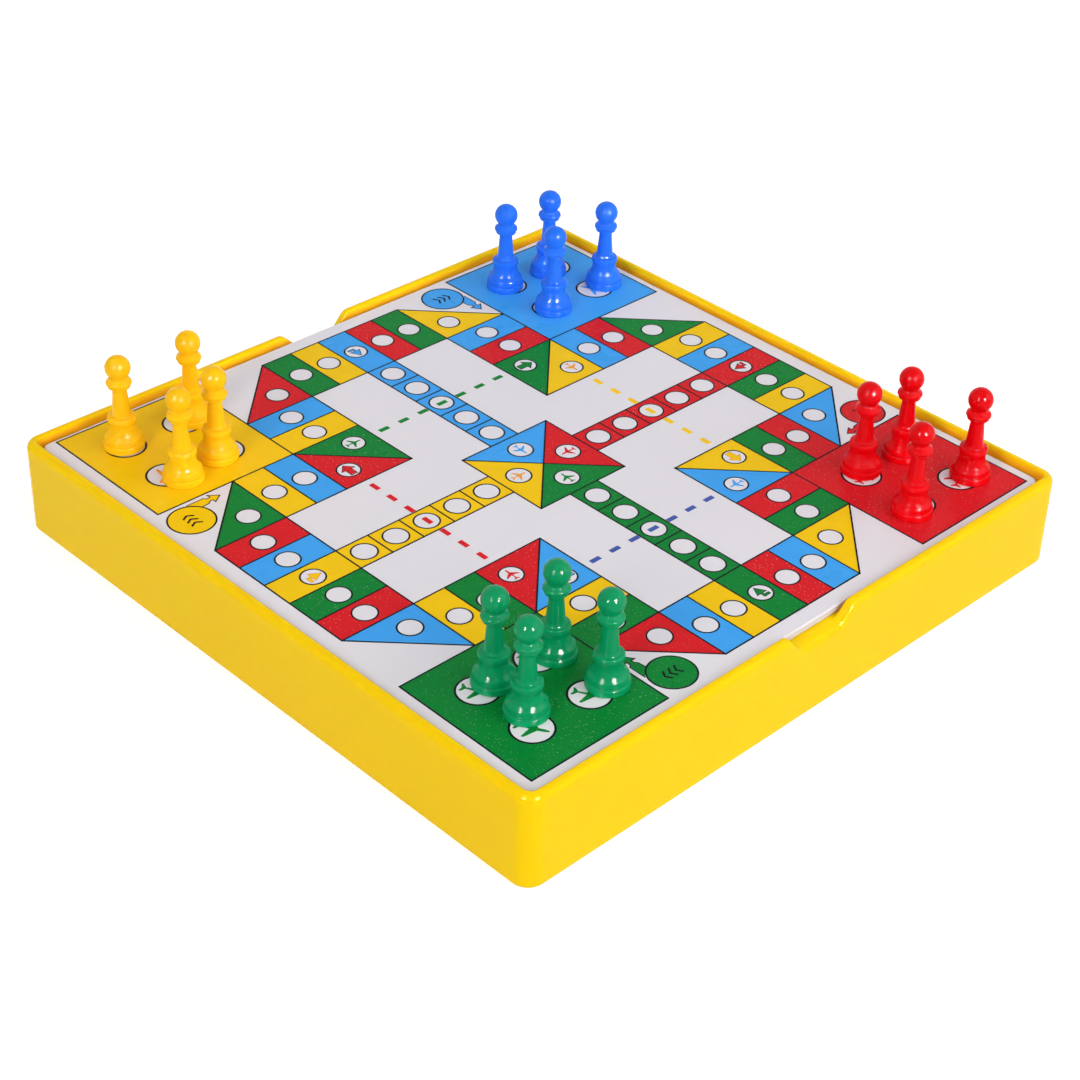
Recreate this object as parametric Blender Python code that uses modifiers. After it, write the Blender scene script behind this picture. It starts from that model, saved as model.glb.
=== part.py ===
"""Ludo game box: a moulded tray, a lift-out playing board, sixteen pawns and a die.

Metres, +Z up. The origin is the middle of the tray's underside. The finger notches are
in the +X and -X walls, and each colour's pawns stand on the corner field of their colour:
yellow at -X -Y, green at +X -Y, red at +X +Y and blue at -X +Y.
"""

import math

import bmesh
import bpy
from mathutils import Matrix, Vector

# Playing board
BOARD_SIDE = 0.1898
BOARD_THICKNESS = 0.0022
BOARD_CORNER_RADIUS = 0.0024
BOARD_EDGE_RADIUS = 0.0007
BOARD_CLEARANCE = 0.0012
FIELD_CENTRE_INSET = 0.0250

# Tray shell
WALL = 0.0028
TRAY_CORNER_RADIUS = 0.0050
TRAY_EDGE_RADIUS = 0.0012
STORAGE_DEPTH = 0.01985
BOARD_RECESS = 0.0020
SEAT_GAP = 0.0003

# Finger notches
NOTCH_TOP_WIDTH = 0.0256
NOTCH_FLOOR_WIDTH = 0.0130
NOTCH_LIP_RADIUS = 0.0021
CUT_OVERRUN = 0.0008

# Storage inside the tray
DIVIDER_THICKNESS = 0.0016
FINGER_ROOM = 0.0100
RIB_THICKNESS = 0.0016
RIB_REACH = 0.0040
RIB_PLACE_SHARES = (-0.75, -0.25, 0.25, 0.75)

# Die, and the play around it in its pocket
DIE_SIDE = 0.0120
DIE_EDGE_RADIUS = 0.0012
DIE_PIP_RADIUS = 0.0011
DIE_PIP_DEPTH = 0.0005
DIE_PIP_FLOOR_SHARE = 0.5
DIE_PIP_PITCH = 0.0030
DIE_POCKET_PLAY = 0.0070
DIE_TURN = math.radians(24.0)

# Pawn, from the foot up
PAWN_BASE_RADIUS = 0.0056
PAWN_BASE_HEIGHT = 0.0018
PAWN_BASE_ROUND = 0.0005
PAWN_GROOVE_DEPTH = 0.00065
PAWN_GROOVE_HEIGHT = 0.0004
PAWN_BELL_RADIUS = 0.0053
PAWN_BELL_HEIGHT = 0.0050
# Points between the bell's waist and its foot: shares of its flare and of its height
PAWN_BELL_SHARES = ((0.28, 0.38), (0.61, 0.66), (0.94, 0.84))
PAWN_WAIST_RADIUS = 0.0035
PAWN_RING_RADIUS = 0.0039
PAWN_RING_HEIGHT = 0.0023
PAWN_RING_ROUND_SHARE = 0.3
PAWN_SHAFT_FOOT_RADIUS = 0.0025
PAWN_SHAFT_TOP_RADIUS = 0.00188
PAWN_SHAFT_HEIGHT = 0.0080
PAWN_SHAFT_ROOT_SHARE = 0.125
PAWN_COLLAR_RADIUS = 0.0034
PAWN_COLLAR_HEIGHT = 0.0034
# Underside of the collar: shares of its swell and of its height
PAWN_COLLAR_FOOT_SHARES = ((0.72, 0.28), (0.38, 0.12))
PAWN_NECK_SHARE = 0.7
PAWN_NECK_HEIGHT = 0.0007
PAWN_HEAD_RADIUS = 0.0034
PAWN_FOOT_RIM_WIDTH = 0.00195
PAWN_HOLLOW_TOP_RADIUS = 0.0018
PAWN_HOLLOW_DEPTH = 0.0060

# Roundness: how many flat sides or steps stand for a curve
CORNER_STEPS = 6
EDGE_STEPS = 2
LIP_STEPS = 4
NOTCH_END_STEPS = 6
PAWN_SIDES = 14
PAWN_HEAD_STEPS = 5
PIP_SIDES = 8
SMOOTH_ANGLE = math.radians(35.0)
LIP_TURN = math.radians(75.0)
MERGE_DISTANCE = 0.00001

# Sizes that follow from the ones above
TRAY_SIDE = BOARD_SIDE + 2 * (BOARD_CLEARANCE + WALL)
SEAT_HEIGHT = WALL + STORAGE_DEPTH
BOARD_BOTTOM = SEAT_HEIGHT + SEAT_GAP
BOARD_TOP = BOARD_BOTTOM + BOARD_THICKNESS
TRAY_HEIGHT = BOARD_TOP + BOARD_RECESS
NOTCH_DEPTH = TRAY_HEIGHT - SEAT_HEIGHT
INNER_HALF = TRAY_SIDE / 2 - WALL
DIE_POCKET_SIDE = DIE_SIDE + 2 * DIE_POCKET_PLAY

# Where the four pawns of a colour stand, from the middle of their field,
# as shares of the pawn's base radius
PAWN_STAND_SHARES = {
    "yellow": ((-1.92, -1.49), (-1.67, 2.34), (1.82, 1.24), (2.29, -1.11)),
    "green": ((-1.64, -0.79), (0.72, -1.13), (-1.32, 2.43), (1.63, 2.68)),
    "red": ((-1.87, -1.44), (-1.42, 1.19), (2.05, -2.41), (1.98, 2.16)),
    "blue": ((-1.70, -1.82), (-1.36, 1.09), (1.57, 2.48), (1.87, -1.64)),
}
FIELD_SIGNS = {"yellow": (-1, -1), "green": (1, -1), "red": (1, 1), "blue": (-1, 1)}

# Linear base colours
COLOURS = {
    "tray": (0.98, 0.66, 0.012),
    "board": (0.74, 0.73, 0.76),
    "die": (0.85, 0.84, 0.80),
    "yellow": (1.0, 0.44, 0.012),
    "green": (0.010, 0.30, 0.11),
    "red": (0.75, 0.008, 0.010),
    "blue": (0.03, 0.16, 0.83),
}

ROUGHNESS = {"tray": 0.28, "board": 0.35, "die": 0.25, "pawn": 0.15}

# The pips of each face of the die, in steps of DIE_PIP_PITCH from its middle
PIP_STEPS = {
    1: ((0, 0),),
    2: ((-1, -1), (1, 1)),
    3: ((-1, -1), (0, 0), (1, 1)),
    4: ((-1, -1), (-1, 1), (1, -1), (1, 1)),
    5: ((-1, -1), (-1, 1), (0, 0), (1, -1), (1, 1)),
    6: ((-1, -1), (-1, 0), (-1, 1), (1, -1), (1, 0), (1, 1)),
}
QUARTER_TURN = math.pi / 2
FACE_TURNS = {
    1: Matrix.Identity(3),
    2: Matrix.Rotation(QUARTER_TURN, 3, "X"),
    3: Matrix.Rotation(QUARTER_TURN, 3, "Y"),
    4: Matrix.Rotation(-QUARTER_TURN, 3, "Y"),
    5: Matrix.Rotation(-QUARTER_TURN, 3, "X"),
    6: Matrix.Rotation(2 * QUARTER_TURN, 3, "X"),
}


def clear_scene():
    for thing in list(bpy.data.objects):
        bpy.data.objects.remove(thing, do_unlink=True)


def new_collection(name):
    collection = bpy.data.collections.new(name)
    bpy.context.scene.collection.children.link(collection)
    return collection


def plastic(name, colour, roughness):
    """A plain coloured plastic."""
    material = bpy.data.materials.new(name)
    material.use_nodes = True
    shader = material.node_tree.nodes["Principled BSDF"]
    shader.inputs["Base Color"].default_value = (*colour, 1.0)
    shader.inputs["Roughness"].default_value = roughness
    shader.inputs["Metallic"].default_value = 0.0
    return material


def mesh_from(shape, name):
    mesh = bpy.data.meshes.new(name)
    shape.to_mesh(mesh)
    shape.free()
    return mesh


def add_part(name, mesh, material, place=(0, 0, 0)):
    """Put a named piece of the game in the scene, under the game's own origin."""
    part = bpy.data.objects.new(name, mesh)
    if not mesh.materials:
        mesh.materials.append(material)
    part.location = place
    part.parent = game_origin
    parts.objects.link(part)
    return part


def add_tool(name, mesh):
    """Put a shape that only cuts or joins another one in the scene."""
    tool = bpy.data.objects.new(name, mesh)
    tool.hide_render = True
    tool.display_type = "WIRE"
    tools.objects.link(tool)
    return tool


def solidify(part, thickness, offset):
    modifier = part.modifiers.new("wall", "SOLIDIFY")
    modifier.thickness = thickness
    modifier.offset = offset
    modifier.use_even_offset = True


def round_edges(part, radius):
    modifier = part.modifiers.new("rounded edges", "BEVEL")
    modifier.width = radius
    modifier.segments = EDGE_STEPS
    modifier.limit_method = "ANGLE"
    modifier.angle_limit = SMOOTH_ANGLE


def combine(part, tool, operation):
    modifier = part.modifiers.new(tool.name, "BOOLEAN")
    modifier.operation = operation
    modifier.solver = "EXACT"
    modifier.object = tool


def rounded_square(side, corner_radius):
    """One flat square face with rounded corners, at height zero."""
    shape = bmesh.new()
    bmesh.ops.create_grid(shape, x_segments=1, y_segments=1, size=side / 2)
    bmesh.ops.bevel(
        shape, geom=shape.verts[:], offset=corner_radius, offset_type="OFFSET",
        segments=CORNER_STEPS, profile=0.5, affect="VERTICES",
    )
    return shape


def box(shape, low, high):
    """Add a box between two corners to a shape."""
    low, high = Vector(low), Vector(high)
    size, middle = high - low, (high + low) / 2
    matrix = Matrix.Translation(middle) @ Matrix.Diagonal((*size, 1.0))
    bmesh.ops.create_cube(shape, size=1.0, matrix=matrix)


def tray_surface():
    """The tray's outside: a rounded square floor with its walls drawn up, open above."""
    shape = rounded_square(TRAY_SIDE, TRAY_CORNER_RADIUS)
    floor = shape.faces[:][0]
    rim = bmesh.ops.extrude_edge_only(shape, edges=floor.edges[:])
    top = [vert for vert in rim["geom"] if isinstance(vert, bmesh.types.BMVert)]
    bmesh.ops.translate(shape, verts=top, vec=(0, 0, TRAY_HEIGHT))
    bmesh.ops.recalc_face_normals(shape, faces=shape.faces[:])
    if floor.normal.z > 0:
        bmesh.ops.reverse_faces(shape, faces=shape.faces[:])
    return mesh_from(shape, "tray")


def box_tool(name, *corners):
    """A cutting or joining shape of separate boxes, each given by its two corners."""
    shape = bmesh.new()
    for low, high in corners:
        box(shape, low, high)
    return add_tool(name, mesh_from(shape, name))


def add_dividers(tray):
    """A square pocket for the die, and four low walls from it towards the tray's walls.

    The walls along Y run into the tray. Those along X stop short of the notches, to
    leave room for the fingers that lift the board.
    """
    foot = WALL / 2
    inside = DIE_POCKET_SIDE / 2
    outside = inside + DIVIDER_THICKNESS
    root = inside + DIVIDER_THICKNESS / 2
    half = DIVIDER_THICKNESS / 2
    reach_x = INNER_HALF - FINGER_ROOM
    reach_y = INNER_HALF + WALL / 2
    block = ((-outside, -outside, foot), (outside, outside, SEAT_HEIGHT))
    arms = (
        ((root, -half, foot), (reach_x, half, SEAT_HEIGHT)),
        ((-reach_x, -half, foot), (-root, half, SEAT_HEIGHT)),
        ((-half, root, foot), (half, reach_y, SEAT_HEIGHT)),
        ((-half, -reach_y, foot), (half, -root, SEAT_HEIGHT)),
    )
    hollow = ((-inside, -inside, WALL), (inside, inside, SEAT_HEIGHT + CUT_OVERRUN))
    combine(tray, box_tool("pocket block", block), "UNION")
    combine(tray, box_tool("divider walls", *arms), "UNION")
    combine(tray, box_tool("pocket hollow", hollow), "DIFFERENCE")


def add_ribs(tray):
    """Short ribs up the inside of each wall, which carry the board's edge.

    Behind each notch a seat as wide as the notch does so, and carries its floor on inwards.
    """
    corners = []
    foot = WALL / 2
    seat = NOTCH_TOP_WIDTH / 2
    for sign in (-1, 1):
        ends = sorted((sign * (INNER_HALF - RIB_REACH), sign * (INNER_HALF + WALL / 2)))
        corners.append(((ends[0], -seat, foot), (ends[1], seat, SEAT_HEIGHT)))
        for share in RIB_PLACE_SHARES:
            near = share * INNER_HALF - RIB_THICKNESS / 2
            far = near + RIB_THICKNESS
            corners.append(((ends[0], near, foot), (ends[1], far, SEAT_HEIGHT)))
            corners.append(((near, ends[0], foot), (far, ends[1], SEAT_HEIGHT)))
    combine(tray, box_tool("ribs", *corners), "UNION")


def notch_stations():
    """How deep the notch's floor lies below the rim at each place across the wall.

    The floor is level with the board's seat from the inside of the wall, then rolls over
    the outer lip.
    """
    lip = TRAY_SIDE / 2 - NOTCH_LIP_RADIUS
    stations = [(INNER_HALF - CUT_OVERRUN, NOTCH_DEPTH)]
    for step in range(LIP_STEPS + 1):
        angle = LIP_TURN * step / LIP_STEPS
        drop = NOTCH_LIP_RADIUS * (1 - math.cos(angle))
        stations.append((lip + NOTCH_LIP_RADIUS * math.sin(angle), NOTCH_DEPTH + drop))
    last_place, last_depth = stations[-1]
    end = TRAY_SIDE / 2 + CUT_OVERRUN
    stations.append((end, last_depth + (end - last_place) * math.tan(LIP_TURN)))
    return stations


def notch_sections():
    """Places along the wall, each with the share of the full depth that is cut there."""
    top, floor = NOTCH_TOP_WIDTH / 2, NOTCH_FLOOR_WIDTH / 2
    side = []
    for step in range(NOTCH_END_STEPS + 1):
        share = step / NOTCH_END_STEPS
        side.append((top + (floor - top) * share, share * share * (3 - 2 * share)))
    return [(-place, share) for place, share in side] + list(reversed(side))


def notch_tool(name, turn):
    """The scoop that a finger notch takes out of one wall."""
    stations, sections = notch_stations(), notch_sections()
    shape = bmesh.new()
    columns, rows = len(stations) - 1, len(sections) - 1
    bmesh.ops.create_grid(shape, x_segments=columns, y_segments=rows, size=1.0)
    for vert in shape.verts:
        place, depth = stations[round((vert.co.x + 1) / 2 * columns)]
        along, share = sections[round((vert.co.y + 1) / 2 * rows)]
        crest = TRAY_HEIGHT + CUT_OVERRUN
        vert.co = (place, along, crest - share * (depth + CUT_OVERRUN))
    raised = bmesh.ops.extrude_face_region(shape, geom=shape.faces[:])
    for vert in raised["geom"]:
        if isinstance(vert, bmesh.types.BMVert):
            vert.co.z = TRAY_HEIGHT + 2 * CUT_OVERRUN
    bmesh.ops.recalc_face_normals(shape, faces=shape.faces[:])
    tool = add_tool(name, mesh_from(shape, name))
    tool.rotation_euler.z = turn
    return tool


def make_tray(material):
    tray = add_part("tray", tray_surface(), material)
    solidify(tray, WALL, -1)
    round_edges(tray, TRAY_EDGE_RADIUS)
    add_dividers(tray)
    add_ribs(tray)
    combine(tray, notch_tool("notch right", 0), "DIFFERENCE")
    combine(tray, notch_tool("notch left", math.pi), "DIFFERENCE")


def make_board(material):
    mesh = mesh_from(rounded_square(BOARD_SIDE, BOARD_CORNER_RADIUS), "board")
    board = add_part("board", mesh, material, (0, 0, BOARD_BOTTOM))
    solidify(board, BOARD_THICKNESS, 1)
    round_edges(board, BOARD_EDGE_RADIUS)


def die_pips():
    """All the pips as small cones, each sunk into its face."""
    shape = bmesh.new()
    for value, turn in FACE_TURNS.items():
        for across, up in PIP_STEPS[value]:
            place = Vector((across * DIE_PIP_PITCH, up * DIE_PIP_PITCH, DIE_SIDE / 2))
            matrix = Matrix.Translation(turn @ place) @ turn.to_4x4()
            bmesh.ops.create_cone(
                shape, cap_ends=True, segments=PIP_SIDES, depth=2 * DIE_PIP_DEPTH,
                radius1=DIE_PIP_RADIUS * DIE_PIP_FLOOR_SHARE,
                radius2=DIE_PIP_RADIUS * (2 - DIE_PIP_FLOOR_SHARE), matrix=matrix,
            )
    return mesh_from(shape, "pips")


def make_die(material):
    shape = bmesh.new()
    bmesh.ops.create_cube(shape, size=DIE_SIDE)
    place = (0, 0, WALL + SEAT_GAP + DIE_SIDE / 2)
    die = add_part("die", mesh_from(shape, "die"), material, place)
    die.rotation_euler.z = DIE_TURN
    round_edges(die, DIE_EDGE_RADIUS)
    pips = add_tool("pips", die_pips())
    pips.parent = die
    combine(die, pips, "DIFFERENCE")


def arc(middle, radius, start, end, steps):
    """Points of a round stretch of a profile, angles from the horizontal in degrees."""
    points = []
    for step in range(steps + 1):
        angle = math.radians(start + (end - start) * step / steps)
        points.append((radius * math.cos(angle), middle + radius * math.sin(angle)))
    return points


def pawn_profile():
    """Radius and height of the pawn's outline, down its outside and up its hollow."""
    bell_foot = PAWN_BASE_HEIGHT + PAWN_GROOVE_HEIGHT
    waist = bell_foot + PAWN_BELL_HEIGHT
    shaft_foot = waist + PAWN_RING_HEIGHT
    collar_foot = shaft_foot + PAWN_SHAFT_HEIGHT
    neck = collar_foot + PAWN_COLLAR_HEIGHT
    head_foot = neck + PAWN_NECK_HEIGHT
    neck_radius = PAWN_HEAD_RADIUS * PAWN_NECK_SHARE
    head_drop = math.sqrt(PAWN_HEAD_RADIUS ** 2 - neck_radius ** 2)
    head_end = -math.degrees(math.asin(head_drop / PAWN_HEAD_RADIUS))

    head = arc(head_foot + head_drop, PAWN_HEAD_RADIUS, 90, head_end, PAWN_HEAD_STEPS)
    head[0] = (0, head[0][1])
    swell = PAWN_COLLAR_RADIUS - PAWN_SHAFT_TOP_RADIUS
    collar = [
        (neck_radius, neck),
        (PAWN_COLLAR_RADIUS, collar_foot + PAWN_COLLAR_HEIGHT / 2),
    ]
    collar += [
        (PAWN_SHAFT_TOP_RADIUS + swell * outward, collar_foot + PAWN_COLLAR_HEIGHT * up)
        for outward, up in PAWN_COLLAR_FOOT_SHARES
    ]
    shaft = [
        (PAWN_SHAFT_TOP_RADIUS, collar_foot),
        (PAWN_SHAFT_FOOT_RADIUS, shaft_foot + PAWN_SHAFT_HEIGHT * PAWN_SHAFT_ROOT_SHARE),
    ]
    ring_round = PAWN_RING_HEIGHT * PAWN_RING_ROUND_SHARE
    ring = [
        (PAWN_RING_RADIUS - ring_round, shaft_foot),
        (PAWN_RING_RADIUS, shaft_foot - ring_round),
        (PAWN_RING_RADIUS, waist + ring_round),
        (PAWN_WAIST_RADIUS, waist),
    ]
    flare = PAWN_BELL_RADIUS - PAWN_WAIST_RADIUS
    bell = [
        (PAWN_WAIST_RADIUS + flare * outward, waist - PAWN_BELL_HEIGHT * down)
        for outward, down in PAWN_BELL_SHARES
    ]
    groove = [
        (PAWN_BELL_RADIUS, bell_foot),
        (PAWN_BASE_RADIUS - PAWN_GROOVE_DEPTH, bell_foot - PAWN_GROOVE_HEIGHT / 2),
    ]
    base = [
        (PAWN_BASE_RADIUS - PAWN_BASE_ROUND, PAWN_BASE_HEIGHT),
        (PAWN_BASE_RADIUS, PAWN_BASE_HEIGHT - PAWN_BASE_ROUND),
        (PAWN_BASE_RADIUS, PAWN_BASE_ROUND),
        (PAWN_BASE_RADIUS - PAWN_BASE_ROUND, 0),
    ]
    hollow = [
        (PAWN_BASE_RADIUS - PAWN_FOOT_RIM_WIDTH, 0),
        (PAWN_HOLLOW_TOP_RADIUS, PAWN_HOLLOW_DEPTH),
        (0, PAWN_HOLLOW_DEPTH),
    ]
    return head + collar + shaft + ring + bell + groove + base + hollow


def pawn_mesh(name, material):
    """The profile of a pawn, which a Screw modifier turns once round its axis."""
    shape = bmesh.new()
    verts = [shape.verts.new((radius, 0, height)) for radius, height in pawn_profile()]
    for upper, lower in zip(verts, verts[1:]):
        shape.edges.new((upper, lower))
    mesh = mesh_from(shape, name)
    mesh.materials.append(material)
    return mesh


def turn_profile(part):
    modifier = part.modifiers.new("turned", "SCREW")
    modifier.steps = PAWN_SIDES
    modifier.render_steps = PAWN_SIDES
    modifier.use_merge_vertices = True
    modifier.merge_threshold = MERGE_DISTANCE
    modifier.use_smooth_shade = True


def make_pawns(colour, material):
    mesh = pawn_mesh("pawn " + colour, material)
    signs = FIELD_SIGNS[colour]
    field_centre = BOARD_SIDE / 2 - FIELD_CENTRE_INSET
    for number, stand in enumerate(PAWN_STAND_SHARES[colour], start=1):
        place = [
            sign * field_centre + share * PAWN_BASE_RADIUS
            for sign, share in zip(signs, stand)
        ]
        name = f"pawn_{colour}_{number}"
        turn_profile(add_part(name, mesh, material, (*place, BOARD_TOP + SEAT_GAP)))


def smooth_round_parts():
    for part in parts.objects:
        if part.type == "MESH" and part.data.polygons:
            part.data.shade_smooth()
            part.data.set_sharp_from_angle(angle=SMOOTH_ANGLE)


clear_scene()
parts = new_collection("ludo game")
tools = new_collection("cutting and joining shapes")
game_origin = bpy.data.objects.new("game_origin", None)
parts.objects.link(game_origin)

make_tray(plastic("tray yellow plastic", COLOURS["tray"], ROUGHNESS["tray"]))
make_board(plastic("board white plastic", COLOURS["board"], ROUGHNESS["board"]))
make_die(plastic("die white plastic", COLOURS["die"], ROUGHNESS["die"]))
for pawn_colour in PAWN_STAND_SHARES:
    name = "pawn " + pawn_colour + " plastic"
    make_pawns(pawn_colour, plastic(name, COLOURS[pawn_colour], ROUGHNESS["pawn"]))
smooth_round_parts()
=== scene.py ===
"""The looks of the ludo game: tray, printed board, sixteen pawns and the die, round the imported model.

Metres, +Z up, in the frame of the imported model. The print's sizes are the real ones, and
the tray, the board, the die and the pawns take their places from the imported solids.
"""

import math

import bmesh
import bpy
from mathutils import Matrix, Vector


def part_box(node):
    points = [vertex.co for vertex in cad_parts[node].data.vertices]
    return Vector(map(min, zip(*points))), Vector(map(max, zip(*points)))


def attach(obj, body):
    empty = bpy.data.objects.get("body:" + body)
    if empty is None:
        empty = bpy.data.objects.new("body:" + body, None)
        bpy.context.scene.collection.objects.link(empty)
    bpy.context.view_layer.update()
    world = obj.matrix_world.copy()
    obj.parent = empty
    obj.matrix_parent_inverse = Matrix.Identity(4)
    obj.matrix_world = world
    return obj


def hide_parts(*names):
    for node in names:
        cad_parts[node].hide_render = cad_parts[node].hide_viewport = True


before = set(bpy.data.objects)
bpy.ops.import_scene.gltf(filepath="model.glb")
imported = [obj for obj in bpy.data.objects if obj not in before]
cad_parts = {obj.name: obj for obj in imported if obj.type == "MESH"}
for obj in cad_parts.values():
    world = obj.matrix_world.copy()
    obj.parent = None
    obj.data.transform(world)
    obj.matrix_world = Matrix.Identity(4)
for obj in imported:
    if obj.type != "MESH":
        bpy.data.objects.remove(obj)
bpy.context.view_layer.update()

MM = 0.001
QUARTER = math.pi / 2
TRAY_LOW, TRAY_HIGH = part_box("tray")
BOARD_LOW, BOARD_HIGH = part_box("board")
DIE_LOW, DIE_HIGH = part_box("die")
TRAY_HALF = TRAY_HIGH.x
BOARD_HALF = BOARD_HIGH.x
BOARD_TOP = BOARD_HIGH.z

# Tray
WALL = 2.8 * MM
CORNER_RADIUS = 5.0 * MM
RIM_OUTER_RADIUS = 2.0 * MM
RIM_INNER_RADIUS = 0.7 * MM
FOOT_RADIUS = 1.0 * MM
FLOOR_FILLET = 1.2 * MM
NOTCH_TOP_HALF = 12.8 * MM
NOTCH_FLOOR_HALF = 6.5 * MM
NOTCH_LIP_RADIUS = 2.5 * MM
NOTCH_INNER_RADIUS = 0.25 * MM
NOTCH_STEP = 0.4 * MM
SUPPORT_STEP = 0.3 * MM
CORNER_STEPS = 16
EDGE_STEPS = 8
RIM_STEPS = 12
MERGE_DISTANCE = MM / 1000

# Storage inside the tray
SEAT_HEIGHT = BOARD_LOW.z - 0.3 * MM
NOTCH_DEPTH = TRAY_HIGH.z - SEAT_HEIGHT
DIVIDER_HALF = 0.8 * MM
FINGER_ROOM = 10.0 * MM
POCKET_HALF = 13.0 * MM
RIB_HALF = 0.8 * MM
RIB_REACH = 4.0 * MM
RIB_SHARES = (-0.75, -0.25, 0.25, 0.75)
INNER_EDGE_ROUND = 0.3 * MM
# How far the painted shade on the wall's inner face fades out
GROOVE_SHADE_BLEND = 0.3 * MM

# Board
BOARD_CORNER = 2.4 * MM
BOARD_EDGE = 0.35 * MM

# Print, from the middle of the board
CELL_WIDTH = 10.0 * MM
CELL_LENGTH = 22.47 * MM
HOME_HALF = 15.44 * MM
HOME_CELLS = 5
ARM_CELLS = 5
FIELD_OUTER = {"left": 93.35 * MM, "right": 92.4 * MM, "front": 91.2 * MM, "back": 92.35 * MM}
FIELD_CIRCLE_OFFSET = 9.23 * MM
CENTRE_CIRCLE_OFFSET = 9.1 * MM
TRIANGLE_CIRCLE_SHIFT = (-0.35 * MM, 0.2 * MM)
TRACK_CIRCLE = 3.5 * MM
HOME_CIRCLE = 3.7 * MM
FIELD_CIRCLE = 5.65 * MM
START_DISC = 6.5 * MM
START_SIDES = 96
START_PLACE = (-86.2 * MM, 39.8 * MM)
LINE_WIDTH = 0.48 * MM
RING_WIDTH = 0.48 * MM
FIELD_RING_WIDTH = 0.60 * MM
DASH_LENGTH = 3.3 * MM
DASH_WIDTH = 1.5 * MM
DASH_PITCH = 7.0 * MM
DASHES = 7
TRACK_PLANE = 4.9 * MM
FIELD_PLANE = 8.6 * MM
FIELD_PLANE_TURN = math.radians(210)
ARROW = 5.0 * MM
CHEVRON = 3.4 * MM
CHEVRON_STEP = 0.55 * CHEVRON
MARK_LINE = 0.22 * MM
START_LINE = 0.3 * MM
PRINT_TURN = math.radians(-0.3)

# A line whose direction has less X than this runs straight up the board
STRAIGHT_UP = 1e-6

# How far each layer of ink stands above the board
FIELD_RISE = 0.020 * MM
DISC_RISE = 0.028 * MM
LINE_RISE = 0.034 * MM
LINE_RISE_STEP = 0.002 * MM
MARK_RISE = 0.034 * MM

CELL_CYCLE = ("green", "yellow", "blue", "red")
HOME_CYCLE = ("blue", "red", "green", "yellow")

# A quarter's track cells, and which of them carry a mark
QUARTER_CELLS = 13
PLANE_CELL = 0
BENT_ARROW_CELL = 6
ARROW_CELL = 12

# Pawn. Its corners give radius and height of the outline, and the radius that rounds them,
# in millimetres.
HEAD_RADIUS = 3.4 * MM
HEAD_MIDDLE = 24.0 * MM
HEAD_END = -45
HEAD_STEPS = 20
FILLET_STEPS = 6
FILLET_SHARE = 0.48
PAWN_CORNERS = (
    (2.33, 21.0, 0.5), (3.30, 20.05, 0.4), (3.44, 19.4, 0.3), (2.98, 18.95, 0.15), (3.02, 18.35, 0.35),
    (2.0, 17.75, 0.3), (1.88, 17.0, 1.6), (2.42, 10.4, 1.2), (2.75, 9.6, 0.4), (3.75, 9.45, 0.45),
    (3.92, 8.4, 0.7), (3.6, 7.3, 0.5), (3.48, 6.9, 0.5), (3.72, 5.6, 2.5), (4.2, 4.5, 1.5),
    (5.05, 3.5, 0.8), (5.3, 2.35, 0.25), (4.95, 2.0, 0.12), (5.58, 1.75, 0.4), (5.58, -0.24, 0.5),
    (3.65, -0.24, 0.3), (1.8, 6.0, 0.5),
)
PAWN_SIDES = 60
MOULD_LINE_ANGLE = 0.012
MOULD_LINE_RISE = 0.035 * MM
MOULD_LINE_TURN = math.radians(28)

# Die
DIE_HALF = 6.0 * MM
DIE_TURN = math.radians(24)
DIE_EDGE = 1.2 * MM
PIP_RADIUS = 1.1 * MM
PIP_DEPTH = 0.5 * MM
PIP_PITCH = 3.0 * MM
PIP_STEPS = {
    1: ((0, 0),),
    2: ((-1, -1), (1, 1)),
    3: ((-1, -1), (0, 0), (1, 1)),
    4: ((-1, -1), (-1, 1), (1, -1), (1, 1)),
    5: ((-1, -1), (-1, 1), (0, 0), (1, -1), (1, 1)),
    6: ((-1, -1), (-1, 0), (-1, 1), (1, -1), (1, 0), (1, 1)),
}
FACE_TURNS = {
    1: Matrix.Identity(3),
    2: Matrix.Rotation(QUARTER, 3, "X"),
    3: Matrix.Rotation(QUARTER, 3, "Y"),
    4: Matrix.Rotation(-QUARTER, 3, "Y"),
    5: Matrix.Rotation(-QUARTER, 3, "X"),
    6: Matrix.Rotation(2 * QUARTER, 3, "X"),
}

# Linear colours
TRAY_YELLOW = (0.93, 0.605, 0.004)
# Painted shade and bounced light: the deeper orange painted low on the wall's inner face beside the board
GROOVE_SHADE_ORANGE = (0.98, 0.46, 0.015)
DUST_BROWN = (0.10, 0.045, 0.004)
BOARD_WHITE = (0.745, 0.716, 0.762)
# Painted shade: how dark the board's sides and underside are painted, against its top
BOARD_SIDE_SHADE = 0.82
DIE_WHITE = (0.84, 0.82, 0.76)
PAWN_COLOURS = {
    "yellow": (1.0, 0.52, 0.006),
    "green": (0.001, 0.29, 0.108),
    "red": (0.72, 0.001, 0.004),
    "blue": (0.020, 0.17, 0.84),
}
PAWN_GLOSS = {"yellow": 0.05, "green": 0.11, "red": 0.08, "blue": 0.07}
INKS = {
    "yellow": (0.90, 0.56, 0.004),
    "green": (0.001, 0.21, 0.031),
    "red": (0.67, 0.011, 0.017),
    "blue": (0.053, 0.36, 0.86),
}
LINE_INK = (0.003, 0.004, 0.009)
ORANGE_INK = (0.84, 0.33, 0.030)
VIOLET_INK = (0.055, 0.10, 0.38)
PIP_INK = (0.02, 0.02, 0.024)
FLOOR_WHITE = (0.70, 0.70, 0.70)
FLOOR_GLOW = 0.55

# Finishes: which inks have pinholes, how much ink and white shows in one, how far every
# colour of light gets through a pawn at least, and the range most of a noise lies in
PINHOLED = ("green", "red")
PINHOLE_INK = 0.6
PINHOLE_WHITE = 0.32
SCATTER_BASE = 0.2
NOISE_SPAN = (0.3, 0.7)


# Materials

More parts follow.
